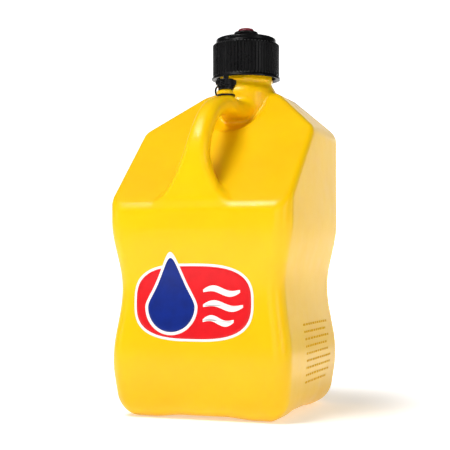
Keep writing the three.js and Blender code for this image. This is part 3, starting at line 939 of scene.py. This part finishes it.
# sideways place and height along the strap's middle
STRAP_ROUTE = [
    (-12, 435.3), (-14, 436.6), (-15.2, 439.6), (-15.3, 443.6), (-14.2, 446.8), (-12.3, 448.1)]
tether_parts = [
    tether_ring("tether_low", 10.75, 12.9, 434.1),
    tether_ring("tether_high", 11.45, 13.1, 446.9),
    grid_object("tether_strap", rounded_strap(STRAP_ROUTE, 4.2, 1.9, 40))]
with bpy.context.temp_override(active_object=tether_parts[0], selected_editable_objects=tether_parts):
    bpy.ops.object.join()
tether = tether_parts[0]
tether.name = "vent_strap_tether"
tether.data.materials.append(cap_plastic)
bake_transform(tether)
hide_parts("vent_tether")
print(tether.name, "has", len(tether.data.polygons), "faces and bends from root to vent_carrier")

# %% [markdown]
# ## The printed film
#
# The film is a stack of ink shapes on the front wall, each layer a tenth of a millimetre above
# the last. A shape is an outline, worked out from an angle, shrunk towards its middle in rings,
# and laid on the wall's curve. The print is a plain panel with a fuel drop and three ripples.

# %% Film layers
film_low, film_high = node_box("front_decal")
FILM_X = (film_low[0] + film_high[0]) / 2
FILM_W = (film_high[0] - film_low[0]) / 2
FILM_BED = 0.1           # how far the lowest layer stands off the wall
FILM_STEP = 0.1
FILM_BACK = 0.02         # how far each layer's back stands off it


def laid_shape(name, outline, layer, material, rings=14, middle=None):
    """Rings of the outline from its middle (a point, or a line of points as long as the outline)
    to its edge, on the wall's curve, then the same rings back again on the wall itself, so the
    ink has an edge and a back."""
    middle = outline.mean(0) if middle is None else middle
    out = np.linspace(0.02, 1, rings)
    scale = np.append(out, out[::-1])[:, None, None]
    flat = middle + (outline - middle)[None] * scale
    front = np.full(rings, FILM_BED + FILM_STEP * layer)
    stand = np.append(front, np.full(rings, FILM_BACK))[:, None]
    y = front_wall(flat[..., 1]) - stand
    piece = grid_object(name, np.stack([flat[..., 0], y, flat[..., 1]], -1))
    dress(piece, material, "root", "decal_vinyl")


PANEL_H = 50             # half the panel's height
PANEL_SQUARENESS = 2.9   # 2 is an ellipse, more is squarer
PANEL_Z = film_low[2] + PANEL_H


def panel(shrink):
    """A superellipse panel, squarer than an ellipse, shrunk by that many millimetres."""
    t = np.linspace(0, 2 * np.pi, 160, endpoint=False)
    power = 2 / PANEL_SQUARENESS
    x = FILM_X + (FILM_W - shrink) * np.sign(np.cos(t)) * np.abs(np.cos(t)) ** power
    z = PANEL_Z + (PANEL_H - shrink) * np.sign(np.sin(t)) * np.abs(np.sin(t)) ** power
    return np.stack([x, z], -1)


def drop(x, z, size):
    """A fuel drop: a circle whose upper half is drawn up into a point."""
    t = np.linspace(0, 2 * np.pi, 96, endpoint=False)
    draw = np.maximum(np.sin(t), 0)
    return np.stack([x + size * np.cos(t) * (1 - 0.42 * draw ** 1.5),
                     z + size * np.sin(t) * (1 + 0.95 * draw ** 2.5)], -1)


def ripple(x0, x1, z, height, swing):
    """A band with round ends whose middle line is one slow wave."""
    t = np.linspace(0, 1, 40)
    line = np.stack([x0 + (x1 - x0) * t, z + swing * np.sin(2 * np.pi * t)], -1)
    half = height / 2 * np.sin(np.pi * (0.03 + 0.94 * t)) ** 0.4
    up = np.stack([0 * t, half], -1)
    return np.vstack([line + up, (line - up)[::-1]]), np.vstack([line, line[::-1]])


DROP_X, DROP_Z = FILM_X - 30, PANEL_Z - 6
laid_shape("film_white_border", panel(0), 0, white_ink, 20)
laid_shape("film_red_panel", panel(3.2), 1, red_ink, 20)
laid_shape("film_drop_outline", drop(DROP_X, DROP_Z, 36.5), 2, white_ink)
laid_shape("film_drop", drop(DROP_X, DROP_Z, 32.5), 3, blue_ink)
RIPPLE_START = FILM_X + 14
# name, how far right of the film's middle it ends, and its height over the panel's middle
RIPPLES = (("film_ripple_high", 64, 15), ("film_ripple_middle", 68, -4), ("film_ripple_low", 56, -23))
for name, end, rise in RIPPLES:
    outline, line = ripple(RIPPLE_START, FILM_X + end, PANEL_Z + rise, 8.5, 3.4)
    laid_shape(name, outline, 2, white_ink, 8, line)
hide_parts("front_decal")

# %% [markdown]
# ## Pieces kept from the frame
#
# The seals and the hidden nut already have their true shape in the frame, so they only get
# their finish.


# %% Finish the frame's own pieces
def finish_node(name, material):
    """Puts a finish on a frame node, in place of the plain one that it came with."""
    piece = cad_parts[name]
    piece.data.materials.clear()
    piece.data.materials.append(material)
    print(name, "is finished in", material.name)


for seal in ("cap_gasket", "bushing_washer", "vent_gasket"):
    finish_node(seal, seal_rubber)
finish_node("bushing_nut", cap_plastic)

# %% [markdown]
# ## The floor
#
# A plain pale sweep: flat under the jug and curving up far behind it, so that it has no edge.
# Its emission is painted light: it glows, brighter away from the jug and dimmer under and round
# it, which is painted shade there, so that the jug keeps its contact shadow; the glow also lights
# the jug from below. A black card stands out of view at the back right, where only
# reflections see it, so that the jug's right wall keeps its colour instead of mirroring white.

# %% Floor
GLOW_START, GLOW_FULL = 0.18, 0.45     # metres from the jug's middle
GLOW_DIM, GLOW_BRIGHT = 0.35, 0.95
SWEEP_FRONT_Y, SWEEP_LENGTH = -4000, 9000
SWEEP_HEIGHT, SWEEP_HALF_W = 2500, 6000
SWEEP_SUNK = 0.2                       # below the jug's base
CARD_Y = 1300.0
floor_material, tree, shader, here = new_material(
    "matt_white_paper_painted_glow", Roughness=0.9, Emission_Color=(1, 1, 1, 1))
away = add_node(tree, "ShaderNodeVectorMath", links={0: here}, operation="LENGTH").outputs["Value"]
# The paper's emission: painted light, brightest far out and dimmer near the jug as painted shade.
painted_glow = add_node(
    tree, "ShaderNodeMapRange",
    {"From Min": GLOW_START, "From Max": GLOW_FULL, "To Min": GLOW_DIM, "To Max": GLOW_BRIGHT},
    {"Value": away}, interpolation_type="SMOOTHSTEP")
tree.links.new(painted_glow.outputs["Result"], shader.inputs["Emission Strength"])
tree.links.new(tinted(tree, mapped(tree, noise(tree, here, 400, 2), 0, 1), "#FCFCFC", "#FAFAFA"),
               shader.inputs["Base Color"])
sweep_run = np.linspace(0, 1, 60)[:, None]
sweep_y = SWEEP_FRONT_Y + SWEEP_LENGTH * sweep_run
sweep_z = SWEEP_HEIGHT * eased_step(sweep_run, 0.62, 1.0) - SWEEP_SUNK
sweep_x = np.linspace(-SWEEP_HALF_W, SWEEP_HALF_W, 9)[None, :]
sweep = np.stack(np.broadcast_arrays(sweep_x, sweep_y, sweep_z), -1)
floor = grid_object("paper_sweep", sweep, close_columns=False, caps=False)
floor.data.materials.append(floor_material)

card_material, tree, shader, here = new_material(
    "black_flock_card", Roughness=1.0, Specular_IOR_Level=0.0)
tree.links.new(tinted(tree, mapped(tree, noise(tree, here, 3, 2), 0, 1), "#050505", "#0B0B0B"),
               shader.inputs["Base Color"])
card_x = np.linspace(380, 2400, 5)[:, None]
card_z = np.linspace(20, 1900, 5)[None, :]
card_grid = np.stack(np.broadcast_arrays(card_x, CARD_Y, card_z), -1)
card = grid_object("black_card", card_grid, close_columns=False, caps=False)
card.data.materials.append(card_material)
card.visible_camera = card.visible_diffuse = card.visible_shadow = card.visible_transmission = False
print("stage:", floor.name, card.name)

# %% [markdown]
# ## Finish

# The visual model has to stay inside the frame's box.

# %% Finish
bpy.context.view_layer.update()
